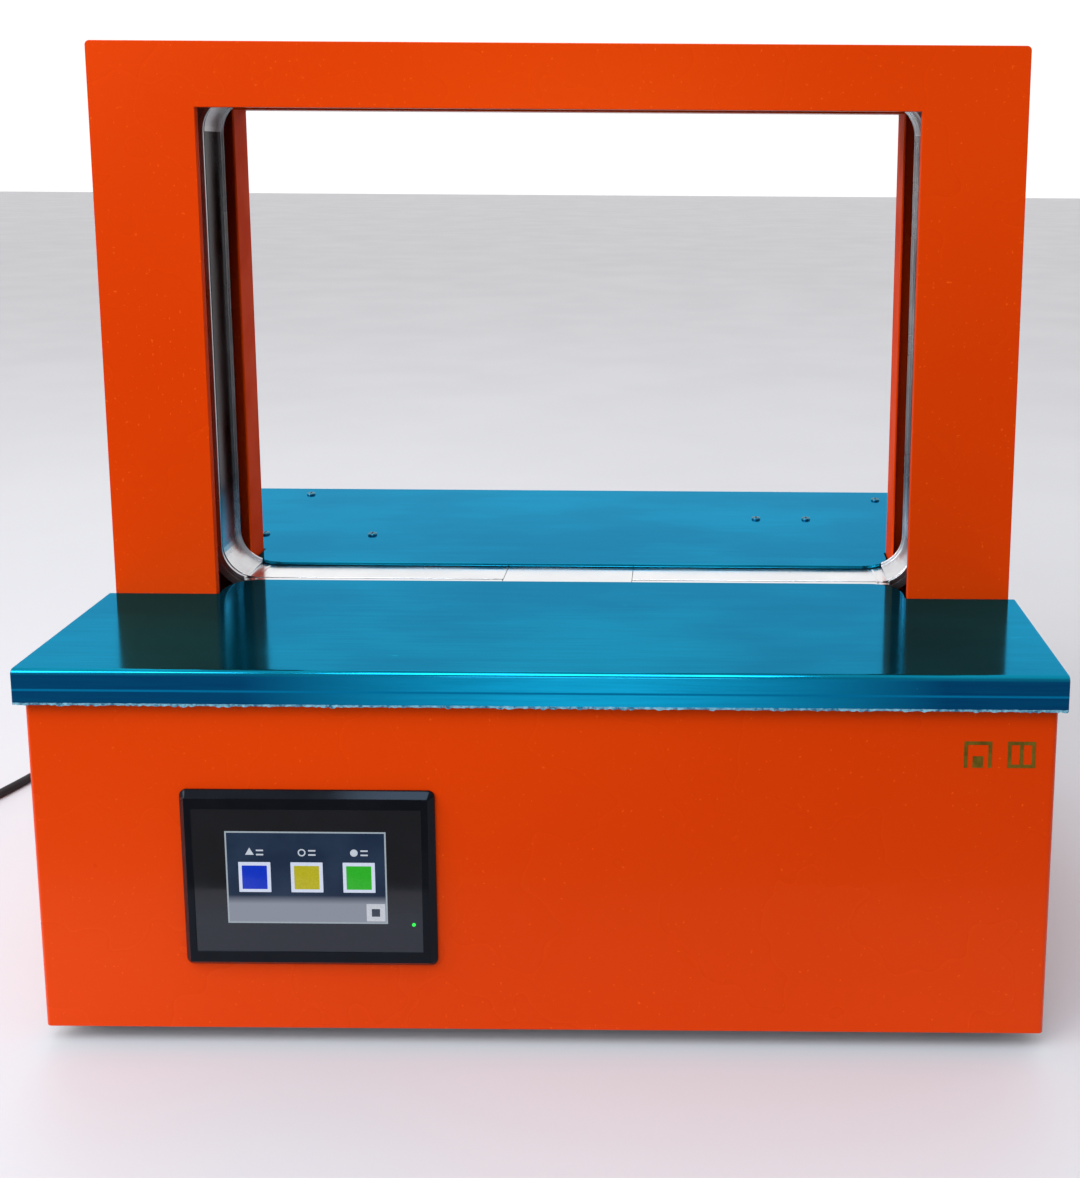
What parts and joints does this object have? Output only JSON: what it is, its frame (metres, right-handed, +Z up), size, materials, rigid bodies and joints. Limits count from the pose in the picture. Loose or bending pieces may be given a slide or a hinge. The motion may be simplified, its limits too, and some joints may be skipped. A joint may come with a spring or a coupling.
{
  "type": "arch banding machine",
  "caption": "Bench-top semi-automatic strapping machine: sheet-metal base with touch screen, two work tables and a fixed rectangular arch with a tape track, over a sealing head and tape reel.",
  "frame": {"origin": "bottom centre of the machine's box, on the bench under its feet, without the mains lead", "axes": "+X to the operator's right, along the machine's width; +Y away from the operator; +Z up"},
  "size_m": [0.92, 0.4997, 0.595],
  "materials": {
    "orange_paint": "satin",
    "blue_film": "gloss",
    "polished_steel": "gloss",
    "zinc_steel": "satin",
    "dark_steel": "satin",
    "tool_steel": "satin",
    "cast_aluminium": "satin",
    "black_plastic": "satin",
    "screen_glass": "gloss",
    "black_rubber": "matte",
    "grey_rubber": "matte",
    "tape_film": "gloss",
    "white_plastic": "matte",
    "green_board": "satin",
    "spring_steel": "gloss"
  },
  "bodies": {
    "base": {"feet": "black_rubber", "base_plate": "zinc_steel", "body_shell": "orange_paint", "front_table": "blue_film", "rear_deck": "blue_film", "arch_front_cover": "orange_paint", "arch_rear_cover": "orange_paint", "arch_frame": "dark_steel", "track_front_rail": "polished_steel", "track_rear_rail": "polished_steel", "track_channel": "zinc_steel", "track_brackets": "zinc_steel", "anvil_guides": "tool_steel", "mech_plates": "zinc_steel", "guide_block": "cast_aluminium", "shaft_bearings": "tool_steel", "cam_gearmotor": "cast_aluminium", "return_springs": "spring_steel", "reel_stand": "zinc_steel", "reel_nut": "black_plastic", "feed_plate": "zinc_steel", "feed_motor": "dark_steel", "hmi_screen": "screen_glass", "hmi_bezel": "black_plastic", "hmi_housing": "black_plastic", "rear_panel": "orange_paint", "door_hinges": "zinc_steel", "fan_frame": "black_plastic", "power_switch": "black_plastic", "power_supply": "zinc_steel", "controller_board": "green_board", "deck_screws": "zinc_steel", "strain_relief": "black_plastic", "mains_lead": "black_rubber", "mains_lead_coil": "black_rubber", "mains_plug": "black_plastic"},
    "anvil": {"anvil_plate": "polished_steel"},
    "camshaft": {"camshaft": "tool_steel", "cams": "tool_steel", "shaft_coupling": "cast_aluminium"},
    "reel": {"reel_core": "white_plastic", "reel_flanges": "white_plastic", "tape_roll": "tape_film"},
    "feed_roller": {"feed_roller": "grey_rubber"},
    "pinch_arm": {"pinch_arm": "cast_aluminium"},
    "pinch_roller": {"pinch_roller": "tool_steel"},
    "guide_roller": {"guide_roller": "cast_aluminium"},
    "dancer_arm": {"dancer_arm": "cast_aluminium"},
    "dancer_roller": {"dancer_roller": "cast_aluminium"},
    "rear_door": {"rear_door": "orange_paint"},
    "fan_impeller": {"fan_impeller": "black_plastic"},
    "power_rocker": {"power_rocker": "black_plastic"},
    "left_gripper": {"left_gripper": "tool_steel"},
    "left_gripper_roller": {"left_gripper_roller": "tool_steel"},
    "cutter": {"cutter": "tool_steel"},
    "cutter_roller": {"cutter_roller": "tool_steel"},
    "seal_punch": {"seal_punch": "tool_steel"},
    "seal_punch_roller": {"seal_punch_roller": "tool_steel"},
    "right_gripper": {"right_gripper": "tool_steel"},
    "right_gripper_roller": {"right_gripper_roller": "tool_steel"}
  },
  "joints": [
    {"name": "anvil_slide", "type": "slide", "parent": "base", "child": "anvil", "axis": [0, 1, 0], "range_m": [0, 0.036]},
    {"name": "camshaft_turn", "type": "hinge", "parent": "base", "child": "camshaft", "pos_m": [0, -0.018, 0.1], "axis": [1, 0, 0], "range_deg": [0, 150]},
    {"name": "left_gripper_lift", "type": "slide", "parent": "base", "child": "left_gripper", "axis": [0, 0, 1], "range_m": [0, 0.008], "deforming": ["return_springs"]},
    {"name": "left_gripper_roller_spin", "type": "hinge", "parent": "left_gripper", "child": "left_gripper_roller", "pos_m": [-0.03, -0.018, 0.138], "axis": [1, 0, 0], "continuous": true},
    {"name": "cutter_lift", "type": "slide", "parent": "base", "child": "cutter", "axis": [0, 0, 1], "range_m": [0, 0.008]},
    {"name": "cutter_roller_spin", "type": "hinge", "parent": "cutter", "child": "cutter_roller", "pos_m": [-0.01, -0.018, 0.138], "axis": [1, 0, 0], "continuous": true},
    {"name": "seal_punch_lift", "type": "slide", "parent": "base", "child": "seal_punch", "axis": [0, 0, 1], "range_m": [0, 0.008]},
    {"name": "seal_punch_roller_spin", "type": "hinge", "parent": "seal_punch", "child": "seal_punch_roller", "pos_m": [0.01, -0.018, 0.138], "axis": [1, 0, 0], "continuous": true},
    {"name": "right_gripper_lift", "type": "slide", "parent": "base", "child": "right_gripper", "axis": [0, 0, 1], "range_m": [0, 0.008]},
    {"name": "right_gripper_roller_spin", "type": "hinge", "parent": "right_gripper", "child": "right_gripper_roller", "pos_m": [0.03, -0.018, 0.138], "axis": [1, 0, 0], "continuous": true},
    {"name": "feed_roller_spin", "type": "hinge", "parent": "base", "child": "feed_roller", "pos_m": [0.098, -0.018, 0.19], "axis": [0, 1, 0], "continuous": true},
    {"name": "pinch_arm_swing", "type": "hinge", "parent": "base", "child": "pinch_arm", "pos_m": [0.1214, 0.002, 0.162], "axis": [0, 1, 0], "range_deg": [0, 10], "stiffness_Nm_per_rad": 0.5, "springref_deg": -20.05},
    {"name": "pinch_roller_spin", "type": "hinge", "parent": "pinch_arm", "child": "pinch_roller", "pos_m": [0.1214, -0.018, 0.19], "axis": [0, 1, 0], "continuous": true},
    {"name": "guide_roller_spin", "type": "hinge", "parent": "base", "child": "guide_roller", "pos_m": [0.106, -0.018, 0.152], "axis": [0, 1, 0], "continuous": true},
    {"name": "dancer_arm_swing", "type": "hinge", "parent": "base", "child": "dancer_arm", "pos_m": [0.08, 0.002, 0.04], "axis": [0, 1, 0], "range_deg": [0, 22], "stiffness_Nm_per_rad": 0.3, "springref_deg": -20.05},
    {"name": "dancer_roller_spin", "type": "hinge", "parent": "dancer_arm", "child": "dancer_roller", "pos_m": [0.08, -0.018, 0.085], "axis": [0, 1, 0], "continuous": true},
    {"name": "reel_spin", "type": "hinge", "parent": "base", "child": "reel", "pos_m": [0.195, -0.018, 0.115], "axis": [0, 1, 0], "continuous": true},
    {"name": "rear_door_swing", "type": "hinge", "parent": "base", "child": "rear_door", "pos_m": [0.2935, 0.1885, 0.12], "axis": [0, 0, -1], "range_deg": [0, 110]},
    {"name": "fan_spin", "type": "hinge", "parent": "base", "child": "fan_impeller", "pos_m": [-0.06, 0.176, 0.115], "axis": [0, 1, 0], "continuous": true},
    {"name": "power_rocker_tilt", "type": "hinge", "parent": "base", "child": "power_rocker", "pos_m": [-0.25, 0.177, 0.178], "axis": [0, 0, -1], "range_deg": [0, 18]}
  ],
  "couplings": [
    {"joint": "left_gripper_lift", "follows": "camshaft_turn", "m_per_rad": 0.0030558},
    {"joint": "cutter_lift", "follows": "camshaft_turn", "m_per_rad": 0.0030558},
    {"joint": "seal_punch_lift", "follows": "camshaft_turn", "m_per_rad": 0.0030558},
    {"joint": "right_gripper_lift", "follows": "camshaft_turn", "m_per_rad": 0.0030558},
    {"joint": "pinch_roller_spin", "follows": "feed_roller_spin", "ratio": -1.5556}
  ]
}
